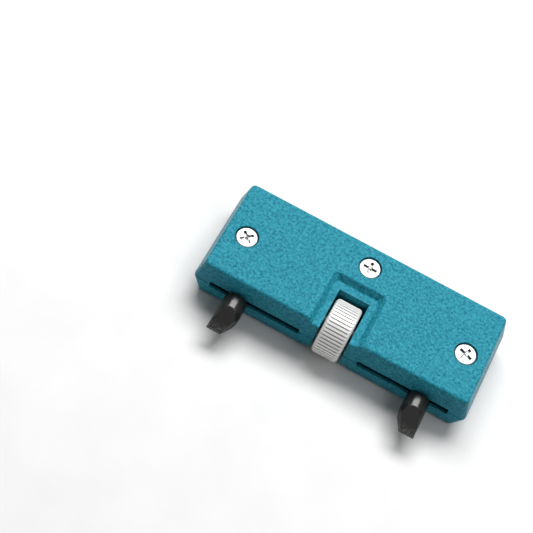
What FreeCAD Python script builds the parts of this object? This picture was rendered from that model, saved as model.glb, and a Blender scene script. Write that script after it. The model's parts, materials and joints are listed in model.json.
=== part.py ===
import FreeCAD, Part
import math
import os

import Sketcher
from FreeCAD import Placement, Rotation, Vector

# Case back opener: a two-part plastic case lying flat, with a knurled thumbwheel on a lead screw
# whose two halves are cut left and right handed, so that turning the wheel draws two steel jaws
# together or drives them apart along slots in the front wall.
#
# Millimetres. X runs along the case, +Z is up and the jaws point towards -Y. The case lies on its
# flat underside, and the origin is the middle of the opener's footprint, jaws included.

DOC = FreeCAD.newDocument("case_back_opener")
SHEET = DOC.addObject("Spreadsheet::Sheet", "dims")

DIMENSIONS = [
    # case
    ("case_length", 77.0),
    ("case_width", 28.0),
    ("case_height", 14.8),
    ("parting_height", 6.4),
    ("draft_angle", 3.3),
    ("upper_end_slope", 13.2),
    ("lower_end_slope", 17.0),
    ("plan_corner", 1.3),
    ("top_round", 0.8),
    ("bottom_round", 1.25),
    ("wall", 1.4),
    ("end_wall", 3.2),
    ("rib_thickness", 1.0),
    ("rail_width", 2.0),
    ("channel_slack", 0.2),
    ("rail_slack", 0.1),
    ("seam_gap", 0.12),
    ("seam_round", 0.22),
    # slots that the jaws travel in, measured from the middle of the case
    ("slot_inner", 8.2),
    ("slot_outer", 33.8),
    ("slot_height", 2.6),
    ("slot_corner", 0.5),
    ("slot_lip", 0.8),
    ("slot_relief", 1.0),
    # thumb recess and the window that the wheel stands in
    ("recess_width", 12.2),
    ("recess_reach", 14.8),
    ("recess_sink", 1.75),
    ("recess_flare", 37.5),
    ("recess_corner", 1.8),
    ("recess_lip", 0.45),
    ("recess_root", 0.5),
    ("lower_recess_sink", 1.2),
    ("window_width", 8.4),
    ("window_reach", 12.8),
    # thumbwheel
    ("wheel_radius", 7.45),
    ("wheel_width", 7.2),
    ("wheel_setback", 5.0),
    ("wheel_axis_height", 7.5),
    ("wheel_shoulder", 1.0),
    ("groove_count", 48),
    ("groove_depth", 0.3),
    ("groove_width", 0.46),
    ("wheel_turn", 2.8),
    # lead screw and its bearings
    ("thread_radius", 2.0),
    ("thread_depth", 0.45),
    ("thread_pitch", 1.25),
    ("thread_sink", 0.05),
    ("thread_foot_share", 0.36),
    ("thread_land_share", 0.14),
    ("thread_end_gap", 0.1),
    ("journal_radius", 2.2),
    ("end_journal_radius", 1.5),
    ("shaft_half_length", 36.2),
    ("bush_radius", 3.2),
    ("bush_length", 2.4),
    ("end_bush_radius", 2.6),
    ("end_bush_length", 1.1),
    ("end_seat_reach", 36.5),
    ("seat_fit", 0.01),
    ("washer_radius", 3.0),
    ("washer_thickness", 0.45),
    ("running_gap", 0.05),
    ("key_width", 1.2),
    ("key_depth", 0.7),
    ("key_inset", 1.0),
    ("key_fit", 0.02),
    # case screws
    ("screw_spread", 30.9),
    ("side_screw_reach", 12.6),
    ("rear_screw_reach", 21.5),
    ("screw_radius", 1.5),
    ("head_radius", 2.8),
    ("head_height", 1.2),
    ("head_sink", 0.35),
    ("head_round", 0.35),
    ("screw_tip_height", 2.3),
    ("screw_tip_bevel", 0.5),
    ("screw_clearance", 0.15),
    ("screw_hole_floor", 2.0),
    ("cross_half_length", 1.9),
    ("cross_half_width", 0.46),
    ("cross_depth", 0.8),
    ("cross_centre_depth", 1.1),
    ("cross_centre_foot", 0.3),
    ("cross_centre_mouth", 0.85),
    ("counterbore_radius", 3.1),
    ("boss_radius", 3.6),
    # jaws
    ("jaw_spread", 25.8),
    ("jaw_radius", 3.1),
    ("jaw_reach", 10.7),
    ("jaw_crest", 4.2),
    ("jaw_flank", 5.4),
    ("jaw_gap", 0.15),
    ("blade_thickness", 1.0),
    ("blade_width", 3.9),
    ("spigot_width", 4.0),
    ("spigot_height", 2.3),
    ("spigot_reach", 3.4),
    ("spigot_round", 1.05),
    ("spigot_fit", 0.02),
    ("jaw_rear_bevel", 0.3),
    ("carriage_width", 7.0),
    ("carriage_depth", 7.0),
    ("carriage_low", 2.8),
    ("carriage_high", 11.5),
    ("carriage_bevel", 0.6),
    ("carriage_gap", 0.1),
    ("clamp_radius", 1.0),
    ("clamp_setback", 0.2),
    ("clamp_sink", 0.4),
    ("clamp_socket_radius", 0.55),
    ("clamp_socket_depth", 0.8),
]

for row, (alias, number) in enumerate(DIMENSIONS, start=1):
    SHEET.set(f"A{row}", alias)
    SHEET.set(f"B{row}", str(number))
    SHEET.setAlias(f"B{row}", alias)
DOC.recompute()

D = dict(DIMENSIONS)
FRONT = "(dims.jaw_reach - dims.case_width) / 2"
BACK = "(dims.jaw_reach + dims.case_width) / 2"
FRONT_Y = (D["jaw_reach"] - D["case_width"]) / 2
AXIS_Y = f"{FRONT} + dims.wheel_setback"
AXIS_Z = "dims.wheel_axis_height"
SIDES = (("left", -1), ("right", 1))

ALONG_X = Rotation(Vector(0, 1, 0), 90)
ALONG_FRONT = Rotation(Vector(1, 0, 0), 90)
UPRIGHT = Rotation()
TURNED = Rotation(Vector(1, 0, 0), D["wheel_turn"]).multiply(ALONG_X)
FAR = 5.0  # how far a cutting shape stands out of what it cuts
OVERLAP = 0.5  # how far two shapes that are joined or cut run into one another
CROSS_TURNS = {"left": 45, "right": 70, "rear": 0}  # degrees


# ---------------------------------------------------------------- building blocks

def new_body(name):
    body = DOC.addObject("PartDesign::Body", name)
    body.Label = name
    return body


def origin_plane(body, role):
    for feature in body.Origin.OriginFeatures:
        if feature.Role == role:
            return feature
    raise ValueError(role)


def bind(feature, **expressions):
    """Ties properties to the sheet; a double underscore in a key stands for a dot."""
    for key, expression in expressions.items():
        feature.setExpression(key.replace("__", "."), expression)


def place(feature, position, rotation=UPRIGHT):
    feature.Placement = Placement(Vector(0, 0, 0), rotation)
    x, y, z = position
    bind(feature, Placement__Base__x=x, Placement__Base__y=y, Placement__Base__z=z)


def body_box(body, name, kind, low, high):
    """A box between two corners, added to (kind Additive) or cut from (Subtractive) a body."""
    block = body.newObject(f"PartDesign::{kind}Box", name)
    bind(
        block,
        Length=f"({high[0]}) - ({low[0]})",
        Width=f"({high[1]}) - ({low[1]})",
        Height=f"({high[2]}) - ({low[2]})",
    )
    place(block, low)
    return block


def body_cylinder(body, name, kind, start, length, radius, rotation=UPRIGHT):
    rod = body.newObject(f"PartDesign::{kind}Cylinder", name)
    bind(rod, Radius=radius, Height=length)
    place(rod, start, rotation)
    return rod


def body_cone(body, name, kind, start, length, radii, rotation=UPRIGHT):
    cone = body.newObject(f"PartDesign::{kind}Cone", name)
    bind(cone, Radius1=radii[0], Radius2=radii[1], Height=length)
    place(cone, start, rotation)
    return cone


def outline(body, name, role, offset, corners):
    """A closed sketch of straight lines whose corners are all tied to the sheet."""
    sketch = body.newObject("Sketcher::SketchObject", name)
    sketch.AttachmentSupport = [(origin_plane(body, role), "")]
    sketch.MapMode = "FlatFace"
    bind(sketch, AttachmentOffset__Base__z=offset)
    count = len(corners)
    for index in range(count):
        angle = 2 * math.pi * index / count
        after = 2 * math.pi * (index + 1) / count
        start = Vector(math.cos(angle), math.sin(angle), 0)
        end = Vector(math.cos(after), math.sin(after), 0)
        sketch.addGeometry(Part.LineSegment(start, end), False)
    for index in range(count):
        sketch.addConstraint(Sketcher.Constraint("Coincident", index, 2, (index + 1) % count, 1))
    for index, (across, up) in enumerate(corners):
        for kind, expression in (("DistanceX", across), ("DistanceY", up)):
            number = sketch.addConstraint(Sketcher.Constraint(kind, -1, 1, index, 1, 1.0))
            sketch.renameConstraint(number, f"{kind}{index}")
            sketch.setExpression(f"Constraints.{kind}{index}", expression)
    DOC.recompute()
    return sketch


def rectangle(left, right, low, high):
    return [(left, low), (right, low), (right, high), (left, high)]


def edge_names(shape, wanted):
    return [f"Edge{i}" for i, edge in enumerate(shape.Edges, start=1) if wanted(edge)]


def round_edges(body, name, wanted, radius):
    """Fillets the edges of the body's latest feature for which wanted(edge) holds."""
    DOC.recompute()
    base = body.Tip
    names = edge_names(base.Shape, wanted)
    if not names:
        raise ValueError(f"{name} found no edge")
    fillet = body.newObject("PartDesign::Fillet", name)
    fillet.Base = (base, names)
    bind(fillet, Radius=radius)
    DOC.recompute()
    return fillet


def bevel_edges(body, name, wanted, size):
    DOC.recompute()
    base = body.Tip
    names = edge_names(base.Shape, wanted)
    if not names:
        raise ValueError(f"{name} found no edge")
    chamfer = body.newObject("PartDesign::Chamfer", name)
    chamfer.Base = (base, names)
    bind(chamfer, Size=size)
    DOC.recompute()
    return chamfer


def cut_through(body, name, sketch):
    """Cuts a sketch's outline right through the body, both ways from the sketch's plane."""
    cut = body.newObject("PartDesign::Pocket", name)
    cut.Profile = sketch
    cut.Midplane = True
    bind(cut, Length="3 * dims.case_width")
    DOC.recompute()


def near(value, target, slack=0.02):
    return abs(value - target) < slack


def flat_at(edge, z):
    box = edge.BoundBox
    return near(box.ZMin, z) and near(box.ZMax, z)


# ---------------------------------------------------------------- case

def case_half(name, upper):
    """One half of the case: a drafted, rounded tray with its bosses, webs and openings.

    Both halves are built from the parting plane outwards: the upper half grows upwards from it
    and the lower half downwards.
    """
    body = new_body(name)
    outer_z = D["case_height"] if upper else 0.0
    outer = "dims.case_height" if upper else "0"
    skin = "dims.case_height - dims.wall" if upper else "dims.wall"
    parting = "dims.parting_height + dims.seam_gap / 2" if upper else (
        "dims.parting_height - dims.seam_gap / 2")
    sink = "dims.recess_sink" if upper else "dims.lower_recess_sink"
    floor = f"{outer} - {sink}" if upper else sink
    backing = f"{floor} - dims.wall" if upper else f"{floor} + dims.wall"
    axis_split = f"{AXIS_Z} + dims.seam_gap / 2" if upper else f"{AXIS_Z} - dims.seam_gap / 2"

    def span(x0, x1, y0, y1, z_near, z_far):
        """Box corners from a level near the parting plane to one nearer the outer skin."""
        low, high = (z_near, z_far) if upper else (z_far, z_near)
        return (x0, y0, low), (x1, y1, high)

    half = "dims.case_length / 2"
    rise = f"{outer} - ({parting})" if upper else parting
    face = outline(body, f"{name}_outline", "XY_Plane", parting,
                   rectangle(f"-{half}", half, FRONT, BACK))
    pad = body.newObject("PartDesign::Pad", f"{name}_block")
    pad.Profile = face
    pad.Reversed = not upper
    bind(pad, Length=rise, TaperAngle="-dims.draft_angle")
    slope_ends(body, name, upper, parting, outer)
    round_edges(body, f"{name}_corners", lambda e: e.BoundBox.ZLength > 1.0, "dims.plan_corner")
    round_edges(body, f"{name}_rim", lambda e: flat_at(e, outer_z),
                "dims.top_round" if upper else "dims.bottom_round")

    parting_z = D["parting_height"] + (1 if upper else -1) * D["seam_gap"] / 2
    round_edges(body, f"{name}_seam", lambda e: flat_at(e, parting_z), "dims.seam_round")

    wall = "dims.wall"
    inner = f"{half} - dims.end_wall"
    body_box(body, f"{name}_cavity", "Subtractive",
             *span(f"-({inner})", inner, f"{FRONT} + {wall}", f"{BACK} - {wall}", parting, skin))

    # Skin behind the thumb recess, and the well that the wheel turns in.
    window = "dims.window_width / 2"
    reach = f"{FRONT} + dims.window_reach"
    bush_end = f"{window} + dims.bush_length"
    recess_side = f"dims.recess_width / 2 + {sink} + {wall}"
    body_box(body, f"{name}_recess_backing", "Additive",
             *span(f"-({recess_side})", recess_side, f"{FRONT} + {wall} / 2",
                   f"{FRONT} + dims.recess_reach + {sink} + {wall}", backing, skin))
    body_box(body, f"{name}_wheel_well", "Additive",
             *span(f"-({bush_end})", bush_end, f"{FRONT} + {wall} / 2", f"{reach} + {wall}",
                   axis_split, skin))
    if not upper:
        # The lower well stands up into the upper half, so it steps back behind its front wall.
        beside = f"{bush_end} + {OVERLAP}"
        body_box(body, f"{name}_well_step", "Subtractive",
                 (f"-({beside})", f"{FRONT} - {FAR}", parting),
                 (beside, f"{FRONT} + {wall} + dims.running_gap", f"{axis_split} + {OVERLAP}"))

    # Channel that each jaw carriage slides in: a rib behind it, and a rail along its face.
    channel_back = f"{FRONT} + {wall} + dims.carriage_depth + dims.channel_slack"
    rail = ("dims.carriage_high + dims.rail_slack" if upper
            else "dims.carriage_low - dims.rail_slack")
    for side, sign in SIDES:
        x0, x1 = (bush_end, inner) if sign > 0 else (f"-({inner})", f"-({bush_end})")
        body_box(body, f"{name}_rib_{side}", "Additive",
                 *span(x0, x1, channel_back, f"{channel_back} + dims.rib_thickness", parting,
                       skin))
        body_box(body, f"{name}_rail_{side}", "Additive",
                 *span(x0, x1, f"{AXIS_Y} - dims.rail_width / 2",
                       f"{AXIS_Y} + dims.rail_width / 2", rail, skin))

    # Bosses for the three case screws.
    for spot, x, reach_y in screw_places():
        low, high = (parting, skin) if upper else (skin, parting)
        body_cylinder(body, f"{name}_boss_{spot}", "Additive", (x, f"{FRONT} + {reach_y}", low),
                      f"{high} - ({low})", "dims.boss_radius")

    cut_recess(body, name, upper, floor, sink)
    body_box(body, f"{name}_window", "Subtractive",
             (f"-{window}", f"{FRONT} - {FAR}", f"-{FAR}"),
             (window, reach, f"dims.case_height + {FAR}"))
    cut_slots(body, name, upper)
    cut_shaft_seats(body, name)
    cut_screw_holes(body, name, upper)
    return body


def slope_ends(body, name, upper, parting, outer):
    """Both end faces lean inwards, away from the parting plane."""
    lean = "tan(dims.upper_end_slope)" if upper else "tan(dims.lower_end_slope)"
    beyond = f"({outer} + {FAR})" if upper else f"({outer} - {FAR})"
    drop = f"({beyond} - ({parting}))" if upper else f"(({parting}) - {beyond})"
    half = "dims.case_length / 2"
    for side, sign in SIDES:
        face = outline(body, f"{name}_end_outline_{side}", "XZ_Plane", "0", [
            (f"{sign} * {half}", parting),
            (f"{sign} * ({half} - {lean} * {drop})", beyond),
            (f"{sign} * ({half} + {FAR})", beyond),
            (f"{sign} * ({half} + {FAR})", parting),
        ])
        cut_through(body, f"{name}_end_{side}", face)


def screw_places():
    return (
        ("left", "-dims.screw_spread", "dims.side_screw_reach"),
        ("right", "dims.screw_spread", "dims.side_screw_reach"),
        ("rear", "0", "dims.rear_screw_reach"),
    )


def cut_recess(body, name, upper, floor, sink):
    """Thumb recess, open to the front, with sloping walls that flare out to the skin."""
    half = "dims.recess_width / 2"
    front, back = f"{FRONT} - {FAR}", f"{FRONT} + dims.recess_reach"
    face = outline(body, f"{name}_recess_outline", "XY_Plane", floor,
                   rectangle(f"-{half}", half, front, back))
    pocket = body.newObject("PartDesign::Pocket", f"{name}_recess")
    pocket.Profile = face
    pocket.Reversed = upper
    bind(pocket, Length=f"{sink} + {OVERLAP}", TaperAngle="dims.recess_flare")
    floor_z = D["case_height"] - D["recess_sink"] if upper else D["lower_recess_sink"]
    back_y = FRONT_Y + D["recess_reach"]

    def is_corner(edge):
        start, end = edge.Vertexes[0].Point, edge.Vertexes[-1].Point
        foot = start if near(start.z, floor_z) else end
        return (
            len(edge.Vertexes) == 2
            and abs(start.z - end.z) > 0.5
            and near(foot.z, floor_z)
            and near(foot.y, back_y, 0.1)
            and near(abs(foot.x), D["recess_width"] / 2, 0.1)
        )

    round_edges(body, f"{name}_recess_corners", is_corner, "dims.recess_corner")

    def in_recess(edge):
        middle = edge.BoundBox.Center
        return (
            abs(middle.x) < D["recess_width"] / 2 + 2
            and middle.y < back_y + 2
            and edge.Length > 1
        )

    skin_z = D["case_height"] if upper else 0.0
    round_edges(body, f"{name}_recess_root",
                lambda e: flat_at(e, floor_z) and in_recess(e) and e.BoundBox.YMax > FRONT_Y + 2,
                "dims.recess_root")
    round_edges(body, f"{name}_recess_lip", lambda e: flat_at(e, skin_z) and in_recess(e),
                "dims.recess_lip")


def cut_slots(body, name, upper):
    """Half the height of the two jaw slots, in a front wall that is thinned behind them."""
    rise = "dims.slot_height / 2"
    low, high = ("-dims.seam_gap", rise) if upper else (f"-{rise}", "dims.seam_gap")
    edge_z = D["parting_height"] + (1 if upper else -1) * D["slot_height"] / 2
    for side, sign in SIDES:
        near_x, far_x = "dims.slot_inner", "dims.slot_outer"
        x0, x1 = (near_x, far_x) if sign > 0 else (f"-{far_x}", f"-{near_x}")
        body_box(body, f"{name}_slot_{side}", "Subtractive",
                 (x0, f"{FRONT} - 1", f"dims.parting_height + ({low})"),
                 (x1, f"{FRONT} + dims.wall + dims.seam_gap",
                  f"dims.parting_height + ({high})"))
        deep_low, deep_high = (low, f"{high} + dims.slot_relief") if upper else (
            f"{low} - dims.slot_relief", high)
        body_box(body, f"{name}_relief_{side}", "Subtractive",
                 (x0, f"{FRONT} + dims.slot_lip", f"dims.parting_height + ({deep_low})"),
                 (x1, f"{FRONT} + dims.wall + dims.seam_gap",
                  f"dims.parting_height + ({deep_high})"))
    ends = (D["slot_inner"], D["slot_outer"])

    def is_slot_corner(edge):
        box = edge.BoundBox
        return (
            box.YLength > 0.5
            and box.YMax < FRONT_Y + D["wall"] + 0.1
            and flat_at(edge, edge_z)
            and min(abs(abs(box.Center.x) - x) for x in ends) < 0.02
        )

    round_edges(body, f"{name}_slot_ends", is_slot_corner, "dims.slot_corner")


def cut_shaft_seats(body, name):
    """Seats for the two bushes beside the wheel and the two in the end walls."""
    for spot, reach, radius in (
        ("bush", "dims.window_width / 2 + dims.bush_length + dims.seam_gap", "dims.bush_radius"),
        ("end", "dims.end_seat_reach", "dims.end_bush_radius"),
    ):
        body_cylinder(body, f"{name}_{spot}_seat", "Subtractive", (f"-({reach})", AXIS_Y, AXIS_Z),
                      f"2 * ({reach})", radius, ALONG_X)


def cut_screw_holes(body, name, upper):
    for spot, x, reach in screw_places():
        y = f"{FRONT} + {reach}"
        if upper:
            body_cylinder(body, f"{name}_hole_{spot}", "Subtractive", (x, y, "0"),
                          "dims.case_height", "dims.screw_radius + dims.screw_clearance")
            seat = "dims.case_height - dims.head_sink - dims.head_height"
            body_cylinder(body, f"{name}_counterbore_{spot}", "Subtractive", (x, y, seat),
                          "dims.head_height + 1", "dims.counterbore_radius")
        else:
            body_cylinder(body, f"{name}_hole_{spot}", "Subtractive",
                          (x, y, "dims.screw_hole_floor"), "dims.parting_height",
                          "dims.screw_radius + dims.seat_fit")


def case_screw(name, x, reach, turn):
    """Flat-topped cross-recess screw; turn is how far its cross is turned."""
    body = new_body(name)
    top = "dims.case_height - dims.head_sink"
    tip = "dims.screw_tip_height"
    body_cylinder(body, f"{name}_shank", "Additive", ("0", "0", tip),
                  f"{top} - dims.head_height - {tip}", "dims.screw_radius")
    body_cylinder(body, f"{name}_head", "Additive", ("0", "0", f"{top} - dims.head_height"),
                  "dims.head_height", "dims.head_radius")
    crown = D["case_height"] - D["head_sink"]
    round_edges(body, f"{name}_crown", lambda e: flat_at(e, crown), "dims.head_round")
    bevel_edges(body, f"{name}_point", lambda e: flat_at(e, D["screw_tip_height"]),
                "dims.screw_tip_bevel")
    long, short = "dims.cross_half_length", "dims.cross_half_width"
    for arm, (half_x, half_y) in (("a", (long, short)), ("b", (short, long))):
        body_box(body, f"{name}_cross_{arm}", "Subtractive",
                 (f"-{half_x}", f"-{half_y}", f"{top} - dims.cross_depth"),
                 (half_x, half_y, f"{top} + 1"))
    body_cone(body, f"{name}_cross_middle", "Subtractive",
              ("0", "0", f"{top} - dims.cross_centre_depth"), "dims.cross_centre_depth",
              ("dims.cross_centre_foot", "dims.cross_centre_mouth"))
    body.Placement = Placement(Vector(0, 0, 0), Rotation(Vector(0, 0, 1), turn))
    bind(body, Placement__Base__x=x, Placement__Base__y=f"{FRONT} + {reach}")
    return body


# ---------------------------------------------------------------- thumbwheel and lead screw

def thumbwheel():
    """Solid steel wheel, straight knurled round its rim, with a round shoulder on each side."""
    body = new_body("thumbwheel")
    width = "dims.wheel_width"
    body_cylinder(body, "wheel_disc", "Additive", ("0", "0", f"-{width} / 2"), width,
                  "dims.wheel_radius")
    half = D["wheel_width"] / 2
    round_edges(body, "wheel_shoulders", lambda e: near(abs(e.BoundBox.Center.z), half),
                "dims.wheel_shoulder")
    body_cylinder(body, "wheel_bore", "Subtractive", ("0", "0", f"-{width} / 2 - 1"),
                  f"{width} + 2", "dims.journal_radius + dims.seat_fit")
    body_box(body, "wheel_keyway", "Subtractive",
             ("0", "-dims.key_width / 2", f"-{width}"),
             ("dims.journal_radius + dims.key_depth", "dims.key_width / 2", width))
    root = "dims.wheel_radius - dims.groove_depth"
    outside = "dims.wheel_radius + dims.groove_depth"
    profile = outline(body, "groove_outline", "XY_Plane", f"-{width} / 2 - 1", [
        (root, "-dims.groove_width / 4"),
        (outside, "-3 * dims.groove_width / 4"),
        (outside, "3 * dims.groove_width / 4"),
        (root, "dims.groove_width / 4"),
    ])
    groove = body.newObject("PartDesign::Pocket", "groove")
    groove.Profile = profile
    groove.Reversed = True
    bind(groove, Length=f"{width} + 2")
    DOC.recompute()
    ring = body.newObject("PartDesign::PolarPattern", "knurl")
    ring.Originals = [groove]
    ring.Axis = (profile, ["N_Axis"])
    ring.Angle = 360
    bind(ring, Occurrences="dims.groove_count")
    body.Tip = ring
    body.Placement = Placement(Vector(0, 0, 0), TURNED)
    bind(body, Placement__Base__y=AXIS_Y, Placement__Base__z=AXIS_Z)
    return body


def thread(side, length):
    """Trapezoid ridge swept along a helix; the left half is left handed."""
    helix = DOC.addObject("Part::Helix", f"helix_{side}")
    helix.LocalCoord = "Left-handed" if side == "left" else "Right-handed"
    bind(helix, Pitch="dims.thread_pitch", Height=length,
         Radius="dims.thread_radius - dims.thread_depth")
    DOC.recompute()
    root = D["thread_radius"] - D["thread_depth"] - D["thread_sink"]
    crest = D["thread_radius"]
    foot = D["thread_pitch"] * D["thread_foot_share"]
    land = D["thread_pitch"] * D["thread_land_share"]
    corners = [Vector(root, 0, -foot), Vector(crest, 0, -land), Vector(crest, 0, land),
               Vector(root, 0, foot)]
    section = DOC.addObject("Part::Feature", f"thread_section_{side}")
    section.Shape = Part.makePolygon(corners + corners[:1])
    ridge = DOC.addObject("Part::Sweep", f"ridge_{side}")
    ridge.Sections = [section]
    ridge.Spine = (helix, ["Edge1"])
    ridge.Solid = True
    ridge.Frenet = True
    return ridge


def rod(name, start, length, radius):
    piece = DOC.addObject("Part::Cylinder", name)
    bind(piece, Radius=radius, Height=length)
    place(piece, ("0", "0", start))
    return piece


def lead_screw():
    """Shaft with a plain middle for the wheel and bushes, two threads and two end journals."""
    middle = "dims.window_width / 2 + dims.bush_length"
    thread_end = "dims.case_length / 2 - dims.end_wall - dims.thread_end_gap"
    core = "dims.thread_radius - dims.thread_depth"
    pieces = [
        rod("shaft_middle", f"-({middle})", f"2 * ({middle})", "dims.journal_radius"),
        rod("shaft_core", f"-({thread_end})", f"2 * ({thread_end})", core),
        rod("shaft_ends", "-dims.shaft_half_length", "2 * dims.shaft_half_length",
            "dims.end_journal_radius"),
    ]
    margin = "dims.thread_pitch / 2"
    run = f"{thread_end} - ({middle}) - 2 * {margin}"
    for side, sign in SIDES:
        ridge = thread(side, run)
        start = f"{middle} + {margin}" if sign > 0 else f"-({thread_end}) + {margin}"
        place(ridge, ("0", "0", start))
        pieces.append(ridge)
    shaft = DOC.addObject("Part::MultiFuse", "shaft_blank")
    shaft.Shapes = pieces
    keyseat = DOC.addObject("Part::Box", "shaft_keyseat")
    bind(keyseat, Length="dims.journal_radius", Width="dims.key_width",
         Height="dims.wheel_width - 2 * dims.key_inset")
    place(keyseat, ("dims.journal_radius - dims.key_depth", "-dims.key_width / 2",
                    "-dims.wheel_width / 2 + dims.key_inset"))
    screw = DOC.addObject("Part::Cut", "lead_screw")
    screw.Base = shaft
    screw.Tool = keyseat
    screw.Label = "lead_screw"
    screw.Placement = Placement(Vector(0, 0, 0), TURNED)
    bind(screw, Placement__Base__y=AXIS_Y, Placement__Base__z=AXIS_Z)
    return screw


def wheel_key():
    """Parallel key that makes the wheel and the lead screw turn together."""
    body = new_body("thumbwheel_key")
    depth = "dims.key_depth - dims.key_fit"
    side = "dims.key_width / 2 - dims.key_fit"
    end = "dims.wheel_width / 2 - dims.key_inset - dims.key_fit"
    body_box(body, "key_bar", "Additive",
             (f"dims.journal_radius - ({depth})", f"-({side})", f"-({end})"),
             (f"dims.journal_radius + {depth}", side, end))
    body.Placement = Placement(Vector(0, 0, 0), TURNED)
    bind(body, Placement__Base__y=AXIS_Y, Placement__Base__z=AXIS_Z)
    return body


def ring_on_shaft(name, start, length, outer, inner):
    """A turned ring round the lead screw, from x = start to start + length."""
    body = new_body(name)
    body_cylinder(body, f"{name}_turned", "Additive", ("0", "0", "0"), length, outer)
    body_cylinder(body, f"{name}_bored", "Subtractive", ("0", "0", "-1"), f"{length} + 2", inner)
    body.Placement = Placement(Vector(0, 0, 0), ALONG_X)
    bind(body, Placement__Base__x=start, Placement__Base__y=AXIS_Y, Placement__Base__z=AXIS_Z)
    return body


def shaft_rings():
    made = []
    window = "dims.window_width / 2"
    gap = "dims.running_gap"
    end = "dims.end_seat_reach"
    for side, sign in SIDES:
        for name, near_x, length, outer, inner in (
            (f"bearing_bush_{side}", window, f"dims.bush_length - {gap}",
             "dims.bush_radius - dims.seat_fit", f"dims.journal_radius + {gap}"),
            (f"thrust_washer_{side}", f"dims.wheel_width / 2 + {gap}", "dims.washer_thickness",
             "dims.washer_radius", f"dims.journal_radius + {gap}"),
            (f"end_bush_{side}", f"{end} - dims.end_bush_length", f"dims.end_bush_length - {gap}",
             "dims.end_bush_radius - dims.seat_fit", f"dims.end_journal_radius + {gap}"),
        ):
            start = near_x if sign > 0 else f"-({near_x}) - ({length})"
            made.append(ring_on_shaft(name, start, length, outer, inner))
    return made


# ---------------------------------------------------------------- jaws

def carriage(side, sign):
    """Steel block on the lead screw, with a flat spigot that reaches out through the slot."""
    name = f"jaw_carriage_{side}"
    body = new_body(name)
    half = "dims.carriage_width / 2"
    block_front = "dims.wall + dims.carriage_gap"
    block_back = f"{block_front} + dims.carriage_depth"
    body_box(body, f"{name}_block", "Additive", (f"-{half}", block_front, "dims.carriage_low"),
             (half, block_back, "dims.carriage_high"))
    bevel_edges(body, f"{name}_bevels", lambda e: e.BoundBox.ZLength > 5,
                "dims.carriage_bevel")
    middle = "dims.parting_height"
    body_box(body, f"{name}_spigot", "Additive",
             ("-dims.spigot_width / 2", "-dims.spigot_reach",
              f"{middle} - dims.spigot_height / 2"),
             ("dims.spigot_width / 2", f"{block_front} + {OVERLAP}",
              f"{middle} + dims.spigot_height / 2"))
    edge_x = D["spigot_width"] / 2
    free_y = -D["spigot_reach"]
    round_edges(body, f"{name}_spigot_edges",
                lambda e: near(e.BoundBox.YMin, free_y) and e.BoundBox.YLength > 1
                and near(abs(e.BoundBox.Center.x), edge_x),
                "dims.spigot_round")
    body_cylinder(body, f"{name}_bore", "Subtractive",
                  (f"-{half} - 1", "dims.wheel_setback", AXIS_Z), "dims.carriage_width + 2",
                  "dims.thread_radius + dims.running_gap", ALONG_X)
    bind(body, Placement__Base__x=f"{sign} * dims.jaw_spread", Placement__Base__y=FRONT)
    return body


def jaw(side, sign):
    """Round steel jaw, ground to a chisel tip; its inner flank slants and its outer is straight."""
    name = f"jaw_pin_{side}"
    body = new_body(name)
    radius = "dims.jaw_radius"
    length = "dims.jaw_reach - dims.jaw_gap"
    body_cylinder(body, f"{name}_barrel", "Additive", ("0", "-dims.jaw_gap", "0"), length, radius,
                  ALONG_FRONT)
    rear = -D["jaw_gap"]
    bevel_edges(body, f"{name}_rear_bevel", lambda e: near(e.BoundBox.YMax, rear)
                and near(e.BoundBox.YMin, rear), "dims.jaw_rear_bevel")
    reach = "-dims.jaw_reach"
    crest = "-dims.jaw_crest"
    tip = "dims.blade_thickness / 2"
    for level, up in (("top", ""), ("bottom", "-")):
        wedge = outline(body, f"{name}_{level}_outline", "YZ_Plane", "0", [
            (crest, f"{up}{radius}"),
            (reach, f"{up}{tip}"),
            (f"{reach} - 1", f"{up}{tip}"),
            (f"{reach} - 1", f"{up}({radius} + 1)"),
            (crest, f"{up}({radius} + 1)"),
        ])
        cut_through(body, f"{name}_{level}_flat", wedge)
    inner = -sign
    flank = outline(body, f"{name}_flank_outline", "XY_Plane", "0", [
        (f"{inner} * {radius}", "-dims.jaw_flank"),
        (f"{inner} * (dims.blade_width - {radius})", reach),
        (f"{inner} * (dims.blade_width - {radius})", f"{reach} - 1"),
        (f"{inner} * ({radius} + 1)", f"{reach} - 1"),
        (f"{inner} * ({radius} + 1)", "-dims.jaw_flank"),
    ])
    cut_through(body, f"{name}_flank", flank)
    fit = "dims.spigot_fit"
    body_box(body, f"{name}_socket", "Subtractive",
             (f"-dims.spigot_width / 2 - {fit}", f"-dims.spigot_reach - {fit}",
              f"-dims.spigot_height / 2 - {fit}"),
             (f"dims.spigot_width / 2 + {fit}", "1", f"dims.spigot_height / 2 + {fit}"))
    body_cylinder(body, f"{name}_clamp_hole", "Subtractive",
                  ("0", "-dims.spigot_reach / 2 - dims.clamp_setback", f"-{FAR}"), str(FAR),
                  "dims.clamp_radius + dims.seat_fit")
    bind(body, Placement__Base__x=f"{sign} * dims.jaw_spread", Placement__Base__y=FRONT,
         Placement__Base__z="dims.parting_height")
    return body


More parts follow.
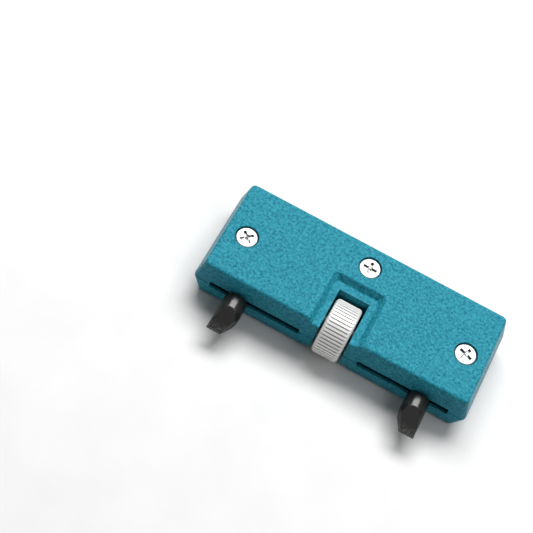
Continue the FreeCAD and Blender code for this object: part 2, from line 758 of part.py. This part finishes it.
def clamp_screw(side, sign):
    """Headless screw under the jaw that clamps it on the spigot; its hexagon socket is below."""
    name = f"jaw_clamp_screw_{side}"
    body = new_body(name)
    top = "-dims.spigot_height / 2 - dims.spigot_fit"
    low = "-dims.jaw_radius + dims.clamp_sink"
    body_cylinder(body, f"{name}_shank", "Additive", ("0", "0", low), f"({top}) - ({low})",
                  "dims.clamp_radius")
    socket = body.newObject("PartDesign::SubtractivePrism", f"{name}_socket")
    socket.Polygon = 6
    bind(socket, Circumradius="dims.clamp_socket_radius", Height="2 * dims.clamp_socket_depth")
    place(socket, ("0", "0", f"{low} - dims.clamp_socket_depth"))
    bind(body, Placement__Base__x=f"{sign} * dims.jaw_spread",
         Placement__Base__y=f"{FRONT} - dims.spigot_reach / 2 - dims.clamp_setback",
         Placement__Base__z="dims.parting_height")
    return body


# ---------------------------------------------------------------- assembly and output

def build():
    pieces = [case_half("upper_housing", True), case_half("lower_housing", False)]
    for spot, x, reach in screw_places():
        pieces.append(case_screw(f"housing_screw_{spot}", x, reach, CROSS_TURNS[spot]))
    pieces += [thumbwheel(), lead_screw(), wheel_key()]
    pieces += shaft_rings()
    for side, sign in SIDES:
        pieces += [carriage(side, sign), jaw(side, sign), clamp_screw(side, sign)]
    return pieces


def check_document(pieces):
    DOC.recompute()
    for thing in DOC.Objects:
        if "Invalid" in thing.State or "Error" in thing.State:
            raise RuntimeError(f"{thing.Name} is {thing.State}")
    for piece in pieces:
        shape = piece.Shape
        if shape.isNull() or not shape.isValid() or len(shape.Solids) != 1:
            raise RuntimeError(f"{piece.Label} is not one valid solid")


def write_parts(pieces):
    os.makedirs("parts", exist_ok=True)
    for piece in pieces:
        piece.Shape.exportStep(os.path.join("parts", f"{piece.Label}.step"))
        box = piece.Shape.BoundBox
        print(f"{piece.Label:24s} {piece.Shape.Volume:9.2f} mm3  x {box.XMin:.2f} {box.XMax:.2f}"
              f"  y {box.YMin:.2f} {box.YMax:.2f}  z {box.ZMin:.2f} {box.ZMax:.2f}")


PIECES = build()
check_document(PIECES)
write_parts(PIECES)
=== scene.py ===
import json
import math

import bpy
from mathutils import Matrix, Vector


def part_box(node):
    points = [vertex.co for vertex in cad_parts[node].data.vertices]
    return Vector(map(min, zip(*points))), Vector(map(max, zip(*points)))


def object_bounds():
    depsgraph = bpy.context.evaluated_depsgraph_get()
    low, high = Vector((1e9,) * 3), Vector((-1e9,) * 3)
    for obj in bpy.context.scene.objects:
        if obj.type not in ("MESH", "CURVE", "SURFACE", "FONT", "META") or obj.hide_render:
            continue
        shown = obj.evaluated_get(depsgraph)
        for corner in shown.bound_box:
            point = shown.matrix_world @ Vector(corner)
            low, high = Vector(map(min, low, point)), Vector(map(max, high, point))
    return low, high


# Looks for the case back opener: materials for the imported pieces, then paper, light and camera.
# Blender works in metres; names that end in _MM, and the materials' texture space, are in
# millimetres.

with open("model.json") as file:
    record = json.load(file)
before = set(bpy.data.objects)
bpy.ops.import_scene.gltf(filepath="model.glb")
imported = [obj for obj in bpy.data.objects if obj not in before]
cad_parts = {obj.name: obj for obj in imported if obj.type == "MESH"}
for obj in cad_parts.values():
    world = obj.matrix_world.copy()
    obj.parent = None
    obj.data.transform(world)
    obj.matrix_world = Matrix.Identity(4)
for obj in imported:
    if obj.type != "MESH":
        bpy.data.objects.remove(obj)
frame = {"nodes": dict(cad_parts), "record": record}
cad_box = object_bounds()
MM = 0.001

# ---------------------------------------------------------------- colours (linear)

TEAL = (0.020, 0.220, 0.294)
TEAL_DARK = (0.007, 0.125, 0.178)
TEAL_LIGHT = (0.040, 0.304, 0.388)
TEAL_CLOUD = (0.92, 0.96, 0.97)
WHITE = (1.0, 1.0, 1.0)
# Plain steel made near black as painted shade, so the washers and lead screw seen in the wheel's
# side gaps and the slots read dark.
STEEL_DARK_AS_SHADE = (0.06, 0.06, 0.059)
PLATED_WHEEL = (0.80, 0.80, 0.785)
ZINC = (0.70, 0.71, 0.70)
DARK_STEEL = (0.16, 0.16, 0.165)
# Grime and painted shade for the case screws' cross recesses.
GRIME_AND_SHADE = (0.15, 0.15, 0.148)
# Painted shade for the floors of the wheel's grooves.
GROOVE_PAINTED_SHADE = (0.44, 0.44, 0.43)
BLACK_OXIDE = (0.019, 0.020, 0.018)
GROUND_BLACK = (0.002, 0.002, 0.0016)
WORN_BLACK = (0.07, 0.069, 0.066)
BRASS = (0.62, 0.43, 0.17)

# ---------------------------------------------------------------- where the masks lie

# The wheel's grooves, whose floors get painted shade: depths below the rim, and half the width of
# the knurled band.
WHEEL_RIM_SKIN_MM = 0.10
WHEEL_GROOVE_FLOOR_MM = 0.22
WHEEL_FLAT_HALF_MM = 2.6
WHEEL_FLAT_FADE_MM = 0.25

# The case screws' crosses, darkened with grime and painted shade: depths below the crown of the
# head.
CROSS_MOUTH_MM = 0.06
CROSS_FLOOR_MM = 0.36

# The jaws: how far the crest of the ground flats is in front of the jaw's back end, half the
# width over which the finish changes there, and how far the wear reaches from the tip.
JAW_CREST_BACK_MM = 4.05
JAW_CREST_FADE_MM = 0.15
JAW_TIP_WEAR_MM = 2.6
JAW_EDGE_WEAR_MM = 0.16
JAW_EDGE_WEAR_TURN = (0.86, 0.985)

# ---------------------------------------------------------------- surfaces

# Roughness, each as the range that the surface's noise moves it over.
CASE_ROUGH = (0.22, 0.32)
WHEEL_ROUGH = (0.45, 0.55)
SCREW_ROUGH = (0.38, 0.50)
PLAIN_STEEL_ROUGH = (0.42, 0.55)
CARRIAGE_ROUGH = (0.35, 0.55)
BRASS_ROUGH = (0.25, 0.40)
BARREL_ROUGH = (0.18, 0.25)
GROUND_ROUGH = (0.42, 0.62)
PAPER_ROUGH = 0.8

CASE_SPECULAR = 0.05
BLACK_SPECULAR = 0.40
WHEEL_METALLIC = 0.35
SCREW_METALLIC = 0.6

# Bump, as strength and depth in mm.
GRAIN_BUMP = (1.0, 0.20)
FINE_BUMP = (0.2, 0.03)
MARKS_BUMP = (0.06, 0.02)
BLACK_BUMP = (0.15, 0.02)

DULL_SHARE = 0.93
PAPER_WHITES = (0.70, 0.74)

# ---------------------------------------------------------------- light and camera

FLOOR_HALF = 1.2
WORLD_STRENGTH = 0.17
LAMP_TARGET_MM = (0, 0, 7)
# Name, position in mm, size in mm, watts.
LAMPS = (
    ("overhead", (-40, 275, 535), (560, 260), 5.35),
    ("side", (330, -30, 480), (400, 300), 0.70),
)

CAMERA_TARGET_MM = Vector((-23.5, 3.06, 7.4))
CAMERA_AZIMUTH = math.radians(8.81)
CAMERA_ELEVATION = math.radians(60.87)
CAMERA_ROLL = math.radians(20.5)
CAMERA_DISTANCE_MM = 333.1
CAMERA_CLIP_START = 0.01
LENS_MM = 88.05
SENSOR_MM = 36.0


# ---------------------------------------------------------------- node helpers

def node_box_mm(name):
    return tuple(Vector(corner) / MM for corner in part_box(name))


class Look:
    """A material under construction, with a method for each kind of node."""

    def __init__(self, name):
        self.material = bpy.data.materials.new(name)
        self.material.use_nodes = True
        self.nodes = self.material.node_tree.nodes
        self.links = self.material.node_tree.links
        self.shader = self.nodes["Principled BSDF"]

    def place(self, stretch=(1.0, 1.0, 1.0)):
        """Texture space in millimetres, fixed to the piece."""
        source = self.nodes.new("ShaderNodeTexCoord")
        mapping = self.nodes.new("ShaderNodeMapping")
        mapping.inputs["Scale"].default_value = [s / MM for s in stretch]
        self.links.new(source.outputs["Object"], mapping.inputs["Vector"])
        return mapping.outputs["Vector"]

    def noise(self, place, scale, detail=3.0, roughness=0.55):
        texture = self.nodes.new("ShaderNodeTexNoise")
        texture.inputs["Scale"].default_value = scale
        texture.inputs["Detail"].default_value = detail
        texture.inputs["Roughness"].default_value = roughness
        self.links.new(place, texture.inputs["Vector"])
        return texture.outputs["Fac"]

    def ramp(self, factor, stops):
        """stops: (position, value or colour) pairs."""
        blend = self.nodes.new("ShaderNodeValToRGB")
        elements = blend.color_ramp.elements
        while len(elements) < len(stops):
            elements.new(0.5)
        for element, (position, colour) in zip(elements, stops):
            if isinstance(colour, (int, float)):
                colour = (colour, colour, colour)
            element.position = position
            element.color = (*colour, 1.0)
        self.links.new(factor, blend.inputs["Fac"])
        return blend.outputs["Color"]

    def between(self, factor, limits, start=0.3, end=0.7):
        """The first limit where factor is at start, the second at end."""
        return self.ramp(factor, [(start, limits[0]), (end, limits[1])])

    def mix(self, factor, first, second, mode="MIX"):
        blend = self.nodes.new("ShaderNodeMix")
        blend.data_type = "RGBA"
        blend.blend_type = mode
        for socket, value in (("Factor", factor), ("A", first), ("B", second)):
            slot = next(s for s in blend.inputs if s.name == socket and s.enabled)
            if isinstance(value, bpy.types.NodeSocket):
                self.links.new(value, slot)
            elif isinstance(value, (int, float)):
                slot.default_value = value
            else:
                slot.default_value = (*value, 1.0)
        return next(s for s in blend.outputs if s.enabled)

    def math(self, operation, first, second=None):
        node = self.nodes.new("ShaderNodeMath")
        node.operation = operation
        for slot, value in zip(node.inputs, (first, second)):
            if isinstance(value, (int, float)):
                slot.default_value = value
            elif value is not None:
                self.links.new(value, slot)
        return node.outputs["Value"]

    def split(self, place):
        node = self.nodes.new("ShaderNodeSeparateXYZ")
        self.links.new(place, node.inputs["Vector"])
        return [node.outputs[axis] for axis in "XYZ"]

    def step(self, value, start, end):
        """0 where value is at start, 1 at end, smooth in between; start may be the larger."""
        rising = start < end
        node = self.nodes.new("ShaderNodeMapRange")
        node.interpolation_type = "SMOOTHSTEP"
        self.links.new(value, node.inputs["Value"])
        node.inputs["From Min"].default_value = min(start, end)
        node.inputs["From Max"].default_value = max(start, end)
        node.inputs["To Min"].default_value = 0.0 if rising else 1.0
        node.inputs["To Max"].default_value = 1.0 if rising else 0.0
        return node.outputs["Result"]

    def bump(self, height, relief, below=None):
        """relief: strength and depth in mm."""
        strength, depth_mm = relief
        node = self.nodes.new("ShaderNodeBump")
        node.inputs["Strength"].default_value = strength
        node.inputs["Distance"].default_value = depth_mm * MM
        self.links.new(height, node.inputs["Height"])
        if below is not None:
            self.links.new(below, node.inputs["Normal"])
        return node.outputs["Normal"]

    def edge_wear(self, radius_mm, turn):
        """White on sharp edges, black on flats: how far a bevelled normal leaves the true one."""
        bevel = self.nodes.new("ShaderNodeBevel")
        bevel.samples = 4
        bevel.inputs["Radius"].default_value = radius_mm * MM
        geometry = self.nodes.new("ShaderNodeNewGeometry")
        dot = self.nodes.new("ShaderNodeVectorMath")
        dot.operation = "DOT_PRODUCT"
        self.links.new(bevel.outputs["Normal"], dot.inputs[0])
        self.links.new(geometry.outputs["Normal"], dot.inputs[1])
        return self.between(dot.outputs["Value"], (1.0, 0.0), *turn)

    def finish(self, colour, roughness, normal):
        """Give the shader its colour, roughness and surface."""
        self.links.new(colour, self.shader.inputs["Base Color"])
        self.links.new(roughness, self.shader.inputs["Roughness"])
        self.links.new(normal, self.shader.inputs["Normal"])


# ---------------------------------------------------------------- materials

def case_plastic():
    """Teal moulding with a fine spark-eroded grain."""
    look = Look("case_plastic")
    place = look.place()
    grain = look.noise(place, 1.5, detail=5.0, roughness=0.72)
    cloud = look.noise(place, 0.12, detail=2.0)
    fine = look.noise(place, 4.5, detail=2.0)
    mottled = look.ramp(grain, [(0.36, TEAL_DARK), (0.50, TEAL), (0.64, TEAL_LIGHT)])
    broad = look.between(cloud, (TEAL_CLOUD, WHITE))
    look.finish(
        look.mix(1.0, mottled, broad, "MULTIPLY"),
        look.between(fine, CASE_ROUGH, 0.35, 0.65),
        look.bump(fine, FINE_BUMP, look.bump(grain, GRAIN_BUMP)),
    )
    look.shader.inputs["Specular IOR Level"].default_value = CASE_SPECULAR
    return look.material


def turned_metal(name, colour, rough, stretch=(1.0, 1.0, 1.0), metallic=1.0, grime_and_shade=None,
                 grime_and_shade_colour=GRIME_AND_SHADE):
    """Metal with fine turning marks; the optional mask function (look, place) gives where its
    colour is mixed in: painted shade on the wheel's groove floors, grime and painted shade in the
    screws' crosses.
    """
    look = Look(name)
    marks = look.noise(look.place(stretch), 2.2, detail=4.0, roughness=0.65)
    dull = tuple(c * DULL_SHARE for c in colour)
    base = look.between(marks, (dull, colour))
    # Painted shade, and in the screws' crosses grime as well, mixed in where the mask is 1.
    if grime_and_shade is not None:
        base = look.mix(grime_and_shade(look, look.place()), base, grime_and_shade_colour)
    look.finish(base, look.between(marks, rough), look.bump(marks, MARKS_BUMP))
    look.shader.inputs["Metallic"].default_value = metallic
    return look.material


def in_wheel_grooves(look, place):
    """1 at the bottom of the knurl's grooves, where the wheel gets painted shade."""
    low, high = node_box_mm("thumbwheel")
    middle = (low + high) / 2
    rim = (high.z - low.z) / 2
    x, y, z = look.split(place)
    across = look.math("SUBTRACT", y, middle.y)
    up = look.math("SUBTRACT", z, middle.z)
    square = look.math("ADD", look.math("MULTIPLY", across, across),
                       look.math("MULTIPLY", up, up))
    deep = look.step(look.math("SQRT", square), rim - WHEEL_RIM_SKIN_MM,
                     rim - WHEEL_GROOVE_FLOOR_MM)
    on_rim = look.step(look.math("ABSOLUTE", x), WHEEL_FLAT_HALF_MM + WHEEL_FLAT_FADE_MM,
                       WHEEL_FLAT_HALF_MM)
    return look.math("MULTIPLY", deep, on_rim)


def in_screw_cross(look, place):
    """Grime and painted shade in the recess of a case screw's head and down its side, thicker in
    patches.
    """
    crown = node_box_mm("housing_screw_rear")[1].z
    z = look.split(place)[2]
    deep = look.step(z, crown - CROSS_MOUTH_MM, crown - CROSS_FLOOR_MM)
    patches = look.between(look.noise(place, 0.9, detail=1.0), (0.55, 1.0), 0.42, 0.58)
    return look.math("MULTIPLY", deep, patches)


def black_steel():
    """Black oxide: glossy on the drawn barrel, dull on the ground flats, worn at the tip."""
    look = Look("black_steel")
    drawn = look.noise(look.place((3.0, 0.5, 3.0)), 2.5, detail=4.0, roughness=0.6)
    place = look.place()
    specks = look.noise(place, 2.6, detail=4.0, roughness=0.7)
    y = look.split(place)[1]
    low, high = node_box_mm("jaw_pin_right")
    crest = high.y - JAW_CREST_BACK_MM
    ground = look.step(y, crest + JAW_CREST_FADE_MM, crest - JAW_CREST_FADE_MM)
    tip = look.step(y, low.y + JAW_TIP_WEAR_MM, low.y)
    scuffed = look.math("MULTIPLY", tip, look.step(specks, 0.46, 0.60))
    edges = look.math("MULTIPLY", look.edge_wear(JAW_EDGE_WEAR_MM, JAW_EDGE_WEAR_TURN),
                      look.step(specks, 0.35, 0.60))
    base = look.mix(ground, BLACK_OXIDE, GROUND_BLACK)
    base = look.mix(scuffed, base, WORN_BLACK)
    look.finish(
        look.mix(edges, base, WORN_BLACK),
        look.mix(ground, look.between(drawn, BARREL_ROUGH), look.between(specks, GROUND_ROUGH)),
        look.bump(look.mix(ground, drawn, specks), BLACK_BUMP),
    )
    look.shader.inputs["Specular IOR Level"].default_value = BLACK_SPECULAR
    return look.material


def dress_nodes():
    """Put each piece's own material in its slot."""
    materials = {
        "case_plastic": case_plastic(),
        # wheel: painted shade on the groove floors
        "wheel_steel": turned_metal("wheel_steel", PLATED_WHEEL, WHEEL_ROUGH, (0.6, 1.5, 1.5),
                                    WHEEL_METALLIC, in_wheel_grooves, GROOVE_PAINTED_SHADE),
        "screw_steel": turned_metal("screw_steel", ZINC, SCREW_ROUGH, metallic=SCREW_METALLIC,
                                    grime_and_shade=in_screw_cross),
        # plain steel: near black, painted shade for the washers and lead screw in the gaps and
        # slots
        "plain_steel": turned_metal("plain_steel", STEEL_DARK_AS_SHADE, PLAIN_STEEL_ROUGH, (2.0, 0.8, 0.8)),
        "carriage_steel": turned_metal("carriage_steel", DARK_STEEL, CARRIAGE_ROUGH),
        "bush_brass": turned_metal("bush_brass", BRASS, BRASS_ROUGH, (0.5, 1.5, 1.5)),
        "black_steel": black_steel(),
    }
    for part in frame["record"]["subparts"]:
        piece = frame["nodes"][part["node"]]
        piece.data.materials.clear()
        piece.data.materials.append(materials[part["material_slot"]])


# ---------------------------------------------------------------- stage, light and camera

def add_object(name, data):
    piece = bpy.data.objects.new(name, data)
    bpy.context.collection.objects.link(piece)
    return piece


def floor():
    """A pale sweep of paper under the opener."""
    half, z = FLOOR_HALF, cad_box[0].z
    mesh = bpy.data.meshes.new("floor")
    mesh.from_pydata([(-half, -half, z), (half, -half, z), (half, half, z), (-half, half, z)], [],
                     [(0, 1, 2, 3)])
    piece = add_object("floor", mesh)
    look = Look("paper")
    shade = look.noise(look.place(), 0.05)
    look.links.new(look.between(shade, PAPER_WHITES), look.shader.inputs["Base Color"])
    look.shader.inputs["Roughness"].default_value = PAPER_ROUGH
    mesh.materials.append(look.material)


def area_light(name, position_mm, size_mm, power):
    lamp = bpy.data.lights.new(name, "AREA")
    lamp.shape = "RECTANGLE"
    lamp.size, lamp.size_y = (s * MM for s in size_mm)
    lamp.energy = power
    light = add_object(name, lamp)
    light.location = Vector(position_mm) * MM
    aim = Vector(LAMP_TARGET_MM) - Vector(position_mm)
    light.rotation_mode = "QUATERNION"
    light.rotation_quaternion = aim.to_track_quat("-Z", "Y")


def lights():
    world = bpy.data.worlds.new("studio")
    bpy.context.scene.world = world
    world.use_nodes = True
    background = world.node_tree.nodes["Background"]
    background.inputs["Color"].default_value = (*WHITE, 1.0)
    background.inputs["Strength"].default_value = WORLD_STRENGTH
    for lamp in LAMPS:
        area_light(*lamp)


def camera():
    """The photo's view: azimuth to the right of the front, then a roll about the view axis."""
    data = bpy.data.cameras.new("camera")
    data.lens = LENS_MM
    data.sensor_width = SENSOR_MM
    data.clip_start = CAMERA_CLIP_START
    piece = add_object("camera", data)
    flat = math.cos(CAMERA_ELEVATION)
    back = Vector((math.sin(CAMERA_AZIMUTH) * flat, -math.cos(CAMERA_AZIMUTH) * flat,
                   math.sin(CAMERA_ELEVATION)))
    piece.location = (CAMERA_TARGET_MM + back * CAMERA_DISTANCE_MM) * MM
    level = (-back).to_track_quat("-Z", "Y").to_matrix()
    piece.rotation_mode = "QUATERNION"
    piece.rotation_quaternion = (level @ Matrix.Rotation(CAMERA_ROLL, 3, "Z")).to_quaternion()
    bpy.context.scene.camera = piece


dress_nodes()
floor()
lights()
camera()
bpy.context.scene.view_settings.view_transform = "Standard"
